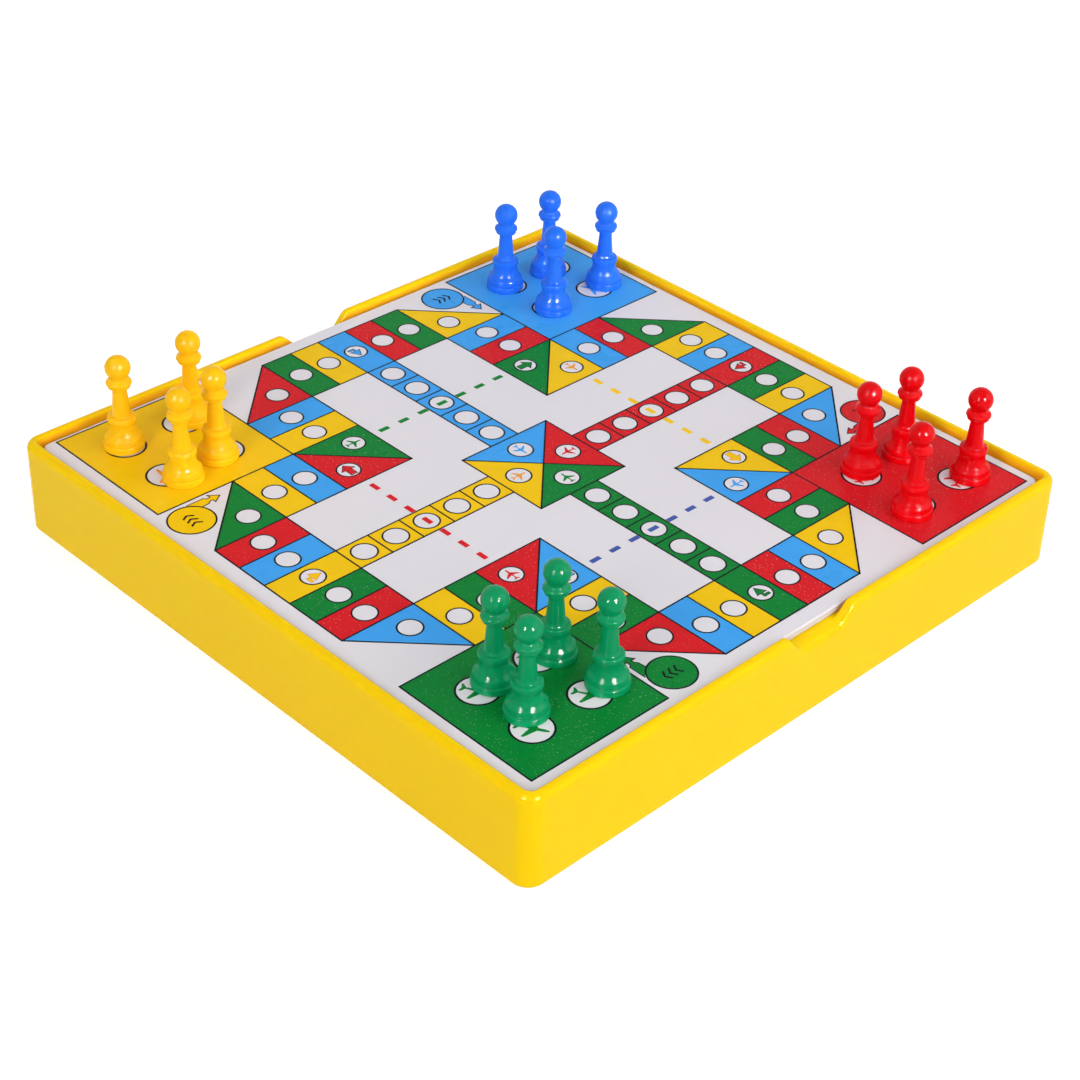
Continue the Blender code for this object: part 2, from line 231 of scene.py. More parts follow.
def node(tree, kind, settings=None, **links):
    """A node with its settings, each input linked to a socket or given a value.

    An input goes by its label, or by i and its number.
    """
    made = tree.nodes.new(kind)
    for name, value in (settings or {}).items():
        setattr(made, name, value)
    for name, value in links.items():
        socket = made.inputs[int(name[1:]) if name[1:].isdigit() else name.replace("_", " ")]
        if isinstance(value, bpy.types.NodeSocket):
            tree.links.new(value, socket)
        else:
            socket.default_value = value
    return made


def shade(colour, factor):
    return (*(min(1.0, channel * factor) for channel in colour), 1.0)


def new_material(name, **values):
    """A Principled material, its uniform values set straight on the shader."""
    material = bpy.data.materials.new(name)
    material.use_nodes = True
    surface = material.node_tree.nodes["Principled BSDF"]
    for label, value in values.items():
        surface.inputs[label.replace("_", " ")].default_value = value
    return material, material.node_tree, surface


def on_object(tree):
    """The place on the piece, in its own coordinates."""
    return node(tree, "ShaderNodeTexCoord").outputs["Object"]


def calculate(tree, operation, first, second=0.0):
    return node(tree, "ShaderNodeMath", {"operation": operation}, i0=first, i1=second).outputs[0]


def noise(tree, place, scale, detail=2.0):
    return node(tree, "ShaderNodeTexNoise", Vector=place, Scale=scale, Detail=detail).outputs["Fac"]


def ramp(tree, value, low, high, start=0.0, end=1.0):
    """Turns the range low to high of a value into start to end."""
    return node(tree, "ShaderNodeMapRange", i0=value, i1=low, i2=high, i3=start, i4=end).outputs[0]


def mix(tree, share, first, second):
    mixed = node(tree, "ShaderNodeMix", {"data_type": "RGBA"}, i0=share, i6=first, i7=second)
    return mixed.outputs[2]


def mottled(tree, place, colour, tones, scale, detail=2.0):
    """A colour between two tones of it, in soft patches."""
    low, high = (shade(colour, tone) for tone in tones)
    return mix(tree, noise(tree, place, scale, detail), low, high)


def specks(tree, place, scale, radius, few):
    """1 inside small round specks, one in some cells of a grid, and 0 elsewhere."""
    cells = node(tree, "ShaderNodeTexVoronoi", Vector=place, Scale=scale)
    near = ramp(tree, cells.outputs["Distance"], radius / 2, radius, 1.0, 0.0)
    chosen = node(tree, "ShaderNodeSeparateColor", i0=cells.outputs["Color"]).outputs[0]
    return calculate(tree, "MULTIPLY", near, calculate(tree, "LESS_THAN", chosen, few))


def uneven_roughness(tree, surface, pattern, low, high):
    """Lets the roughness wander from low to high with a pattern."""
    wear = ramp(tree, pattern, *NOISE_SPAN, low, high)
    tree.links.new(wear, surface.inputs["Roughness"])


def bump(tree, surface, height, strength, distance):
    made = node(tree, "ShaderNodeBump", Strength=strength, Distance=distance, Height=height)
    tree.links.new(made.outputs["Normal"], surface.inputs["Normal"])


def satin(tree, surface, place, low, high):
    """The board's fine unevenness, which shows in the ink on it too."""
    uneven_roughness(tree, surface, noise(tree, place, scale=90, detail=4), low, high)
    bump(tree, surface, noise(tree, place, scale=900, detail=3), strength=0.08, distance=0.04 * MM)


def groove_shade_share(tree, place):
    """Where shade is painted: 1 low on the wall's inner face beside the board, 0 on the rim, outside and
    below the seat.
    """
    axes = node(tree, "ShaderNodeSeparateXYZ", Vector=place).outputs
    across, along = (calculate(tree, "ABSOLUTE", axes[axis]) for axis in "XY")
    reach = calculate(tree, "MAXIMUM", across, along)
    face = TRAY_HALF - WALL
    inside = ramp(tree, reach, face + RIM_INNER_RADIUS, face + GROOVE_SHADE_BLEND)
    below = ramp(tree, axes["Z"], TRAY_HIGH.z - GROOVE_SHADE_BLEND, BOARD_TOP + GROOVE_SHADE_BLEND)
    above = ramp(tree, axes["Z"], SEAT_HEIGHT + GROOVE_SHADE_BLEND, SEAT_HEIGHT + 3 * GROOVE_SHADE_BLEND)
    return calculate(tree, "MULTIPLY", calculate(tree, "MULTIPLY", inside, below), above)


def tray_plastic():
    """Glossy moulded yellow, a little uneven in tone, with a few tiny dark specks, and painted shade: a
    deeper orange low on the wall's inner face beside the board.
    """
    material, tree, surface = new_material(
        "tray plastic", Roughness=0.3, Specular_IOR_Level=0.05, Specular_Tint=(1.0, 0.85, 0.35, 1),
        Subsurface_Weight=0.3, Subsurface_Scale=1.5 * MM, Subsurface_Radius=(1.0, 0.3, 0.03))
    place = on_object(tree)
    tone = mottled(tree, place, TRAY_YELLOW, tones=(0.95, 1.03), scale=14)
    # Painted shade and bounced light: a deeper orange low on the wall's inner face beside the board,
    # which stays when the board is lifted
    tone = mix(tree, groove_shade_share(tree, place), tone, shade(GROOVE_SHADE_ORANGE, 1))
    dust = specks(tree, place, scale=95, radius=0.035, few=0.05)
    tree.links.new(mix(tree, dust, tone, shade(DUST_BROWN, 1)), surface.inputs["Base Color"])
    uneven_roughness(tree, surface, noise(tree, place, scale=60, detail=3), low=0.12, high=0.17)
    bump(tree, surface, noise(tree, place, scale=500), strength=0.05, distance=0.03 * MM)
    return material


def board_plastic():
    """The board's bare white, faintly mottled, with painted shade that darkens its sides and underside.
    """
    material, tree, surface = new_material("board plastic", Roughness=0.33, Specular_IOR_Level=0.25)
    place = on_object(tree)
    tone = mottled(tree, place, BOARD_WHITE, tones=(0.98, 1.02), scale=30)
    height = node(tree, "ShaderNodeSeparateXYZ", Vector=place).outputs["Z"]
    # Painted shade: the sides and underside darker than the top
    side = ramp(tree, height, BOARD_TOP - BOARD_EDGE / 2, BOARD_TOP - 2 * BOARD_EDGE)
    tone = mix(tree, side, tone, shade(BOARD_WHITE, BOARD_SIDE_SHADE))
    tree.links.new(tone, surface.inputs["Base Color"])
    satin(tree, surface, place, low=0.28, high=0.38)
    return material


def printed_ink(name, colour, pinholes=False):
    """A flat ink, with pale pinholes where it missed the board."""
    material, tree, surface = new_material(name, Roughness=0.3, Specular_IOR_Level=0.05)
    place = on_object(tree)
    tone = mottled(tree, place, colour, tones=(0.94, 1.05), scale=120, detail=3)
    if pinholes:
        fine = specks(tree, place, scale=1400, radius=0.20, few=0.6)
        large = specks(tree, place, scale=700, radius=0.13, few=0.4)
        cloud = ramp(tree, noise(tree, place, scale=45), low=0.35, high=0.65, start=0.15, end=0.85)
        share = calculate(tree, "MULTIPLY", calculate(tree, "MAXIMUM", fine, large), cloud)
        pale = [PINHOLE_INK * channel + PINHOLE_WHITE for channel in colour]
        tone = mix(tree, share, tone, shade(pale, 1))
    tree.links.new(tone, surface.inputs["Base Color"])
    satin(tree, surface, place, low=0.25, high=0.35)
    return material


def pawn_plastic(name, colour, gloss):
    """Glossy plastic that lets a little light through."""
    material, tree, surface = new_material(
        name, Roughness=0.1, Specular_IOR_Level=gloss, Subsurface_Weight=0.5, Subsurface_Scale=3 * MM,
        Subsurface_Radius=[SCATTER_BASE + channel for channel in colour])
    place = on_object(tree)
    tone = mottled(tree, place, colour, tones=(0.93, 1.06), scale=160)
    tree.links.new(tone, surface.inputs["Base Color"])
    uneven_roughness(tree, surface, noise(tree, place, scale=500, detail=3), low=0.05, high=0.09)
    bump(tree, surface, noise(tree, place, scale=300), strength=0.06, distance=0.04 * MM)
    return material


def die_plastic(name, colour):
    """The plain plastic of the die, or the paint in its pips."""
    material, tree, surface = new_material(name, Roughness=0.22, IOR=1.5)
    place = on_object(tree)
    tone = mottled(tree, place, colour, tones=(0.95, 1.04), scale=200)
    tree.links.new(tone, surface.inputs["Base Color"])
    bump(tree, surface, noise(tree, place, scale=800), strength=0.08, distance=0.04 * MM)
    return material


# Meshes

def mesh_object(name, shape, *materials):
    """An object at the origin from a bmesh."""
    mesh = bpy.data.meshes.new(name)
    shape.to_mesh(mesh)
    shape.free()
    for material in materials:
        mesh.materials.append(material)
    made = bpy.data.objects.new(name, mesh)
    bpy.context.scene.collection.objects.link(made)
    return made


def dress(piece, body, slot, *nodes):
    """Attaches a piece to the body it moves with and hides the imported parts it stands for; slot is not
    used.
    """
    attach(piece, body)
    if nodes:
        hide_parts(*nodes)
    return piece


def smooth(piece, angle=35):
    piece.data.shade_smooth()
    piece.data.set_sharp_from_angle(angle=math.radians(angle))


def arc(centre, radius, start, end, steps):
    """Points of an arc in a section, angles in degrees."""
    turns = [math.radians(start + (end - start) * step / steps) for step in range(steps + 1)]
    return [(centre[0] + radius * math.cos(t), centre[1] + radius * math.sin(t)) for t in turns]


def filleted(corners):
    """A path through corners, each rounded by its own radius. The last corner stays sharp."""
    path = []
    for (before, here, after), radius in corners:
        back = (before - here).normalized()
        on = (after - here).normalized()
        half = back.angle(on) / 2
        room = FILLET_SHARE * min((before - here).length, (after - here).length)
        reach = min(radius / math.tan(half), room)
        turn = reach * math.tan(half)
        centre = here + (back + on).normalized() * (turn / math.sin(half))
        first, last = here + back * reach - centre, here + on * reach - centre
        span = first.angle_signed(last)
        for step in range(FILLET_STEPS + 1):
            point = first.copy()
            point.rotate(Matrix.Rotation(-span * step / FILLET_STEPS, 2))
            path.append(centre + point)
    return path


def smoothstep(value):
    share = min(1.0, max(0.0, value))
    return share * share * (3 - 2 * share)


# Tray

def outline_stations(half, corner, sides):
    """Places round a rounded square, each with its outward direction.

    sides gives the places along a side, between its corner arcs.
    """
    stations = []
    straight = half - corner
    for quarter in range(4):
        turn = Matrix.Rotation(quarter * QUARTER, 3, "Z")
        for along in sides:
            stations.append((turn @ Vector((half, along, 0)), turn @ Vector((1, 0, 0)), quarter, along))
        for step in range(CORNER_STEPS + 1):
            angle = QUARTER * step / CORNER_STEPS
            out = Vector((math.cos(angle), math.sin(angle), 0))
            place = Vector((straight, straight, 0)) + out * corner
            stations.append((turn @ place, turn @ out, quarter, straight))
    return stations


def side_places(straight):
    """Places along a side: close together at the notch and next to the corners."""
    reach = NOTCH_TOP_HALF + NOTCH_STEP
    count = round(2 * reach / NOTCH_STEP)
    notch = [reach * (2 * step / count - 1) for step in range(count + 1)]
    ends = (straight - SUPPORT_STEP, straight / 2)
    return [-ends[0], -ends[1], *notch, ends[1], ends[0]]


def notch_share(quarter, along):
    """How far the wall is lowered at a place: 1 in the middle of the notch, 0 outside it."""
    if quarter % 2:
        return 0.0
    return smoothstep((NOTCH_TOP_HALF - abs(along)) / (NOTCH_TOP_HALF - NOTCH_FLOOR_HALF))


def wall_section(lowered):
    """Depth behind the outer face and height of the wall's section, from the underside round
    the rim to the floor inside."""
    top = TRAY_HIGH.z - lowered * NOTCH_DEPTH
    outer = RIM_OUTER_RADIUS + lowered * (NOTCH_LIP_RADIUS - RIM_OUTER_RADIUS)
    inner = RIM_INNER_RADIUS + lowered * (NOTCH_INNER_RADIUS - RIM_INNER_RADIUS)
    foot = TRAY_LOW.z + FOOT_RADIUS
    section = arc((FOOT_RADIUS, foot), FOOT_RADIUS, 270, 180, EDGE_STEPS)
    section.append((0, foot + SUPPORT_STEP))
    section.append((0, top - outer - SUPPORT_STEP))
    section += arc((outer, top - outer), outer, 180, 90, RIM_STEPS)
    section += arc((WALL - inner, top - inner), inner, 90, 0, EDGE_STEPS)
    section.append((WALL, top - inner - SUPPORT_STEP))
    fillet = (WALL + FLOOR_FILLET, TRAY_LOW.z + WALL + FLOOR_FILLET)
    section.append((WALL, fillet[1] + SUPPORT_STEP))
    section += arc(fillet, FLOOR_FILLET, 180, 270, EDGE_STEPS)
    return section


def swept_ring(stations, section_at):
    """A closed shell swept round the stations, its first and last rings filled."""
    shape = bmesh.new()
    rings = []
    for place, out, quarter, along in stations:
        section = section_at(quarter, along)
        rings.append([shape.verts.new(place - out * depth + Vector((0, 0, height)))
                      for depth, height in section])
    for ring, following in zip(rings, rings[1:] + rings[:1]):
        for low in range(len(ring) - 1):
            shape.faces.new((ring[low], following[low], following[low + 1], ring[low + 1]))
    shape.faces.new([ring[0] for ring in reversed(rings)])
    shape.faces.new([ring[-1] for ring in rings])
    bmesh.ops.remove_doubles(shape, verts=shape.verts, dist=MERGE_DISTANCE)
    bmesh.ops.recalc_face_normals(shape, faces=shape.faces)
    return shape


def rounded_block(name, low, high):
    """A block with rounded edges, as a tool to be added to a shell or cut from it."""
    shape = bmesh.new()
    size = Vector(high) - Vector(low)
    centre = (Vector(high) + Vector(low)) / 2
    bmesh.ops.create_cube(shape, size=1, matrix=Matrix.LocRotScale(centre, None, size))
    bmesh.ops.bevel(shape, geom=shape.edges[:], offset=INNER_EDGE_ROUND, segments=3, profile=0.5,
                    affect="EDGES")
    return mesh_object(name, shape)


def combine(piece, tool, operation):
    """Adds a tool to a piece or cuts it out, and removes the tool."""
    modifier = piece.modifiers.new(operation, "BOOLEAN")
    modifier.object = tool
    modifier.operation = operation
    modifier.solver = "EXACT"
    mesh = bpy.data.meshes.new_from_object(piece.evaluated_get(bpy.context.evaluated_depsgraph_get()))
    piece.modifiers.clear()
    piece.data = mesh
    bpy.data.objects.remove(tool)


def make_tray(material):
    """The moulded case: shell with its notches, die pocket, divider walls and ribs."""
    straight = TRAY_HALF - CORNER_RADIUS
    stations = outline_stations(TRAY_HALF, CORNER_RADIUS, side_places(straight))
    shell = swept_ring(stations, lambda quarter, along: wall_section(notch_share(quarter, along)))
    tray = mesh_object("tray_case", shell, material)
    floor = TRAY_LOW.z + WALL / 2
    inner = TRAY_HALF - WALL
    pocket = POCKET_HALF + 2 * DIVIDER_HALF
    root = POCKET_HALF + DIVIDER_HALF
    side = inner + WALL / 2
    rib_places = [share * inner for share in RIB_SHARES]
    blocks = [((-pocket, -pocket, floor), (pocket, pocket, SEAT_HEIGHT))]
    for sign in (-1, 1):
        ends = sorted((sign * (inner - RIB_REACH), sign * (inner + SUPPORT_STEP)))
        blocks.append(((ends[0], -NOTCH_TOP_HALF, floor), (ends[1], NOTCH_TOP_HALF, SEAT_HEIGHT)))
        ends = sorted((sign * root, sign * (inner - FINGER_ROOM)))
        blocks.append(((ends[0], -DIVIDER_HALF, floor), (ends[1], DIVIDER_HALF, SEAT_HEIGHT)))
        ends = sorted((sign * root, sign * side))
        blocks.append(((-DIVIDER_HALF, ends[0], floor), (DIVIDER_HALF, ends[1], SEAT_HEIGHT)))
        for place in rib_places:
            ends = sorted((sign * (inner - RIB_REACH), sign * side))
            blocks.append(((ends[0], place - RIB_HALF, floor), (ends[1], place + RIB_HALF, SEAT_HEIGHT)))
            blocks.append(((place - RIB_HALF, ends[0], floor), (place + RIB_HALF, ends[1], SEAT_HEIGHT)))
    for low, high in blocks:
        combine(tray, rounded_block("block", low, high), "UNION")
    low = (-POCKET_HALF, -POCKET_HALF, TRAY_LOW.z + WALL)
    high = (POCKET_HALF, POCKET_HALF, SEAT_HEIGHT + WALL)
    combine(tray, rounded_block("hollow", low, high), "DIFFERENCE")
    smooth(tray)
    return dress(tray, "case", "tray", "tray")


# Board

def board_section(quarter, along):
    """Depth and height of the board's edge, from its underside to its top."""
    low = arc((BOARD_EDGE, BOARD_LOW.z + BOARD_EDGE), BOARD_EDGE, 270, 180, EDGE_STEPS)
    high = arc((BOARD_EDGE, BOARD_TOP - BOARD_EDGE), BOARD_EDGE, 180, 90, EDGE_STEPS)
    return [(BOARD_EDGE + SUPPORT_STEP, BOARD_LOW.z), *low, *high, (BOARD_EDGE + SUPPORT_STEP, BOARD_TOP)]


def make_board(material):
    straight = BOARD_HALF - BOARD_CORNER
    places = [-straight + SUPPORT_STEP, 0, straight - SUPPORT_STEP]
    panel = swept_ring(outline_stations(BOARD_HALF, BOARD_CORNER, places), board_section)
    board = mesh_object("board_panel", panel, material)
    smooth(board)
    return dress(board, "board", "board", "board")


# Print layout

def turned(point, quarters):
    """A place turned clockwise about the middle of the board by quarter turns."""
    x, y = point
    for _ in range(quarters % 4):
        x, y = y, -x
    return x, y


def rectangle(left, right, low, high):
    return [(left, low), (right, low), (right, high), (left, high)]


def circle_place(cell):
    """The middle of a cell's circle. In a triangle of the left quarter it is the centre of the
    circle that fits, moved a little outwards."""
    corners = [Vector(point) for point in cell]
    if len(corners) == 4:
        return sum(corners, Vector((0, 0))) / 4
    weights = [(corners[i - 1] - corners[i - 2]).length for i in range(3)]
    total = sum((corner * weight for corner, weight in zip(corners, weights)), Vector((0, 0)))
    place = total / sum(weights)
    outwards, along = TRIANGLE_CIRCLE_SHIFT
    return place + Vector((outwards, math.copysign(along, place.y)))


TRACK = ARM_CELLS / 2 * CELL_WIDTH
SHOULDER = TRACK + CELL_LENGTH
OUTER_LEG = SHOULDER + 2 * CELL_WIDTH
OUTSIDE = OUTER_LEG + CELL_LENGTH


def track_cells():
    """The thirteen track cells of the left quarter, in playing order."""
    near, mid, far, end = TRACK, SHOULDER, OUTER_LEG, OUTSIDE
    step = mid + CELL_WIDTH
    cells = [
        [(-mid, -mid), (-mid, -near), (-near, -near)],
        rectangle(-step, -mid, -mid, -near),
        rectangle(-far, -step, -mid, -near),
        [(-far, -mid), (-far, -near), (-end, -near)],
    ]
    for number in range(ARM_CELLS):
        low = -near + number * CELL_WIDTH
        cells.append(rectangle(-end, -far, low, low + CELL_WIDTH))
    cells += [
        [(-end, near), (-far, near), (-far, mid)],
        rectangle(-far, -step, near, mid),
        rectangle(-step, -mid, near, mid),
        [(-mid, mid), (-mid, near), (-near, near)],
    ]
    return cells


def home_cells():
    """The five cells of the left home column."""
    pitch = (OUTER_LEG - HOME_HALF) / HOME_CELLS
    starts = [-OUTER_LEG + number * pitch for number in range(HOME_CELLS)]
    return [rectangle(start, start + pitch, -CELL_WIDTH / 2, CELL_WIDTH / 2) for start in starts]


ARROW_HALF = ((0.5, 0.0), (0.02, 0.44), (0.02, 0.2), (-0.5, 0.2), (-0.5, 0.0))
BENT_ARROW = (
    (0.5, 0.0), (-0.08, 0.33), (-0.08, 0.09), (-0.36, 0.09), (-0.36, -0.34), (-0.2, -0.34),
    (-0.2, -0.045), (-0.08, -0.045), (-0.08, -0.34),
)


def mirrored(half):
    """A closed outline from its half on one side of the X axis."""
    other = [(x, -y) for x, y in reversed(half) if y > 0]
    return list(half) + other


def placed_outline(outline, middle, turn, size):
    """An outline's corners at a place on the board."""
    spin = Matrix.Rotation(turn, 2)
    return [Vector(middle) + spin @ (Vector(point) * size) for point in outline]


class Print:
    """What the board carries: coloured areas, lines, circles, dashes and marks."""

    def __init__(self):
        self.areas = {colour: [] for colour in CELL_CYCLE}
        self.outlines = []
        self.circles = []
        self.marks = []
        self.arrows = {colour: [] for colour in CELL_CYCLE}
        self.dashes = []
        self.starts = []


def area(sheet, colour, corners):
    sheet.areas[colour].append(corners)
    sheet.outlines.append(corners)


def lay_out():
    """The whole print, from one quarter turned four times."""
    sheet = Print()
    for quarter in range(4):
        home = HOME_CYCLE[quarter]
        turn = -quarter * QUARTER
        for number, cell in enumerate(track_cells()):
            corners = [turned(point, quarter) for point in cell]
            colour = CELL_CYCLE[(QUARTER_CELLS * quarter + number) % 4]
            area(sheet, colour, corners)
            middle = turned(circle_place(cell), quarter)
            sheet.circles.append((middle, "track"))
            if number == PLANE_CELL:
                sheet.marks.append((colour, middle, turn + QUARTER, TRACK_PLANE))
            if number == BENT_ARROW_CELL:
                sheet.arrows[colour].append(placed_outline(BENT_ARROW, middle, turn, ARROW))
            if number == ARROW_CELL:
                arrow = placed_outline(mirrored(ARROW_HALF), middle, turn + QUARTER, ARROW)
                sheet.arrows[colour].append(arrow)
        for cell in home_cells():
            corners = [turned(point, quarter) for point in cell]
            area(sheet, home, corners)
            sheet.circles.append((circle_place(corners), "home"))
        corner = [(-HOME_HALF, HOME_HALF), (-HOME_HALF, -HOME_HALF), (0, 0)]
        area(sheet, home, [turned(point, quarter) for point in corner])
        middle = turned((-CENTRE_CIRCLE_OFFSET, 0), quarter)
        sheet.circles.append((middle, "home"))
        sheet.marks.append((home, middle, turn, TRACK_PLANE))
        field = field_corners(turned((-1, 1), quarter))
        area(sheet, home, field)
        centre = circle_place(field)
        for across in (-1, 1):
            for along in (-1, 1):
                middle = centre + Vector((across, along)) * FIELD_CIRCLE_OFFSET
                sheet.circles.append((middle, "field"))
                sheet.marks.append((home, middle, turn + FIELD_PLANE_TURN, FIELD_PLANE))
        sheet.starts.append((home, turned(START_PLACE, quarter), quarter))
        flight = circle_place(track_cells()[0]).x
        for number in range(DASHES):
            along = (number - (DASHES - 1) / 2) * DASH_PITCH
            colour = CELL_CYCLE[quarter]
            sheet.dashes.append((colour, turned((flight, along), quarter), turn + QUARTER))
    return sheet


def field_corners(signs):
    """The corner field on that side: square within, its outer sides at the print's edge."""
    across = FIELD_OUTER["left" if signs[0] < 0 else "right"] * signs[0]
    along = FIELD_OUTER["front" if signs[1] < 0 else "back"] * signs[1]
    inner = (SHOULDER * signs[0], SHOULDER * signs[1])
    corners = [inner, (across, inner[1]), (across, along), (inner[0], along)]
    return corners if signs[0] * signs[1] > 0 else corners[::-1]


# Print pieces

def slab(shape, corners, base, rise):
    """A thin closed plate over those corners."""
    verts = [shape.verts.new((x, y, base)) for x, y in corners]
    face = shape.faces.new(verts)
    raised = bmesh.ops.extrude_face_region(shape, geom=[face])
    tops = [item for item in raised["geom"] if isinstance(item, bmesh.types.BMVert)]
    bmesh.ops.translate(shape, verts=tops, vec=(0, 0, rise))


def slabs(name, areas, rise, material):
    shape = bmesh.new()
    for corners in areas:
        slab(shape, corners, BOARD_TOP, rise)
    bmesh.ops.recalc_face_normals(shape, faces=shape.faces)
    return mesh_object(name, shape, material)


def closed(corners):
    return [*corners, corners[0]]


def merged_strokes(paths):
    """The edges of the paths as straight strokes, those on one line joined where they meet."""
    lines = {}
    for corners in paths:
        for start, end in zip(corners, corners[1:]):
            start, end = Vector(start), Vector(end)
            along = (end - start).normalized()
            if along.x < -STRAIGHT_UP or (abs(along.x) < STRAIGHT_UP and along.y < 0):
                start, end, along = end, start, -along
            across = Vector((-along.y, along.x))
            key = (round(math.degrees(math.atan2(along.y, along.x))), round(start.dot(across) / MM, 1))
            lines.setdefault(key, (along, across, start.dot(across), []))[3].append(
                (start.dot(along), end.dot(along)))
    strokes = []
    for (angle, _), (along, across, offset, spans) in lines.items():
        spans.sort()
        low, high = spans[0]
        merged = []
        for start, end in spans[1:]:
            if start > high + LINE_WIDTH:
                merged.append((low, high))
                low, high = start, end
            high = max(high, end)
        merged.append((low, high))
        strokes += [(angle, along * low + across * offset, along * high + across * offset)
                    for low, high in merged]
    return strokes


def new_tree(name, sockets):
    """A Geometry Nodes tree with a geometry in and out and the named inputs between."""
    tree = bpy.data.node_groups.new(name, "GeometryNodeTree")
    tree.interface.new_socket("Geometry", in_out="INPUT", socket_type="NodeSocketGeometry")
    for label, kind in sockets.items():
        tree.interface.new_socket(label, in_out="INPUT", socket_type="NodeSocket" + kind)
    tree.interface.new_socket("Geometry", in_out="OUTPUT", socket_type="NodeSocketGeometry")
    return tree, tree.nodes.new("NodeGroupInput")


def end_tree(tree, start, geometry):
    """Ends a tree: real geometry from the instances, with the material on it."""
    real = node(tree, "GeometryNodeRealizeInstances", Geometry=geometry)
    painted = node(tree, "GeometryNodeSetMaterial", Geometry=real.outputs[0],
                   Material=start.outputs["Material"])
    end = tree.nodes.new("NodeGroupOutput")
    tree.links.new(painted.outputs[0], end.inputs[0])
    return tree


def attribute(tree, name):
    read = node(tree, "GeometryNodeInputNamedAttribute", {"data_type": "FLOAT"})
    read.inputs["Name"].default_value = name
    return read.outputs["Attribute"]


def on_points(tree, start, motif, scale=None):
    """The motif on every point, turned about Z by the point's turn."""
    turn = node(tree, "ShaderNodeCombineXYZ", Z=attribute(tree, "turn"))
    placed = node(tree, "GeometryNodeInstanceOnPoints", Points=start.outputs["Geometry"],
                  Instance=motif, Rotation=turn.outputs[0])
    if scale is not None:
        tree.links.new(scale, placed.inputs["Scale"])
    return placed.outputs[0]


def disc_tree():
    tree, start = new_tree("round spots", {"Radius": "Float", "Rise": "Float", "Sides": "Int",
                                           "Material": "Material"})
    disc = node(tree, "GeometryNodeMeshCylinder", Vertices=start.outputs["Sides"],
                Radius=start.outputs["Radius"], Depth=start.outputs["Rise"])
    return end_tree(tree, start, on_points(tree, start, disc.outputs["Mesh"]))


def ring_tree():
    tree, start = new_tree("round outlines", {"Radius": "Float", "Width": "Float", "Rise": "Float",
                                              "Sides": "Int", "Material": "Material"})
    path = node(tree, "GeometryNodeCurvePrimitiveCircle", Resolution=start.outputs["Sides"],
                Radius=start.outputs["Radius"])
    profile = node(tree, "GeometryNodeCurvePrimitiveQuadrilateral", Width=start.outputs["Width"],
                   Height=start.outputs["Rise"])
    ring = node(tree, "GeometryNodeCurveToMesh", Curve=path.outputs["Curve"],
                i1=profile.outputs["Curve"])
    return end_tree(tree, start, on_points(tree, start, ring.outputs["Mesh"]))


def stroke_tree():
    """Straight strokes: a bar on every point, as long as the point says."""
    tree, start = new_tree("strokes", {"Width": "Float", "Rise": "Float", "Material": "Material"})
    size = node(tree, "ShaderNodeCombineXYZ", X=1.0, Y=start.outputs["Width"], Z=start.outputs["Rise"])
    bar = node(tree, "GeometryNodeMeshCube", Size=size.outputs[0])
    scale = node(tree, "ShaderNodeCombineXYZ", X=attribute(tree, "length"), Y=1.0, Z=1.0)
    return end_tree(tree, start, on_points(tree, start, bar.outputs["Mesh"], scale.outputs[0]))


def mark_tree():
    """A flat mark, given as an object of unit length, scaled on every point."""
    tree, start = new_tree("marks", {"Mark": "Object", "Material": "Material"})
    mark = node(tree, "GeometryNodeObjectInfo", Object=start.outputs["Mark"])
    size = attribute(tree, "length")
    scale = node(tree, "ShaderNodeCombineXYZ", X=size, Y=size, Z=1.0)
    return end_tree(tree, start, on_points(tree, start, mark.outputs["Geometry"], scale.outputs[0]))


def stamp(tree, places, **values):
    """The plain object that a tree makes at places: (x, y, height, turn, length) each."""
    mesh = bpy.data.meshes.new(tree.name)
    mesh.from_pydata([place[:3] for place in places], [], [])
    for column, name in ((3, "turn"), (4, "length")):
        data = mesh.attributes.new(name, "FLOAT", "POINT").data
        data.foreach_set("value", [place[column] for place in places])
    points = bpy.data.objects.new(tree.name, mesh)
    bpy.context.scene.collection.objects.link(points)
    modifier = points.modifiers.new(tree.name, "NODES")
    modifier.node_group = tree
    for item in tree.interface.items_tree:
        if item.in_out == "INPUT" and item.name in values:
            modifier[item.identifier] = values[item.name]
    evaluated = points.evaluated_get(bpy.context.evaluated_depsgraph_get())
    points.data = bpy.data.meshes.new_from_object(evaluated)
    points.modifiers.remove(modifier)
    for name in ("turn", "length"):
        if name in points.data.attributes:
            points.data.attributes.remove(points.data.attributes[name])
    return points


def joined(name, pieces, material):
    """One object from several of one material."""
    shape = bmesh.new()
    for piece in pieces:
        shape.from_mesh(piece.data)
        bpy.data.objects.remove(piece)
    return mesh_object(name, shape, material)


# Outlines of unit length, by half where both halves are alike
PLANE_HALF = (
    (0.50, 0.0), (0.46, 0.035), (0.36, 0.055), (0.16, 0.06), (-0.12, 0.42), (-0.20, 0.42),
    (-0.08, 0.05), (-0.34, 0.035), (-0.45, 0.16), (-0.51, 0.16), (-0.46, 0.0),
)
CHEVRON_HALF = ((0.25, 0.0), (-0.05, 0.5), (-0.25, 0.5), (0.05, 0.0))

# Corners in millimetres from the middle of the start disc
START_ARROW = (
    (2.9, 6.1), (7.9, 6.1), (8.5, 5.4), (9.8, 5.4), (9.6, 6.65), (12.2, 4.6), (9.6, 2.8),
    (9.6, 4.05), (8.8, 4.0), (7.8, 3.3), (5.7, 3.1),
)

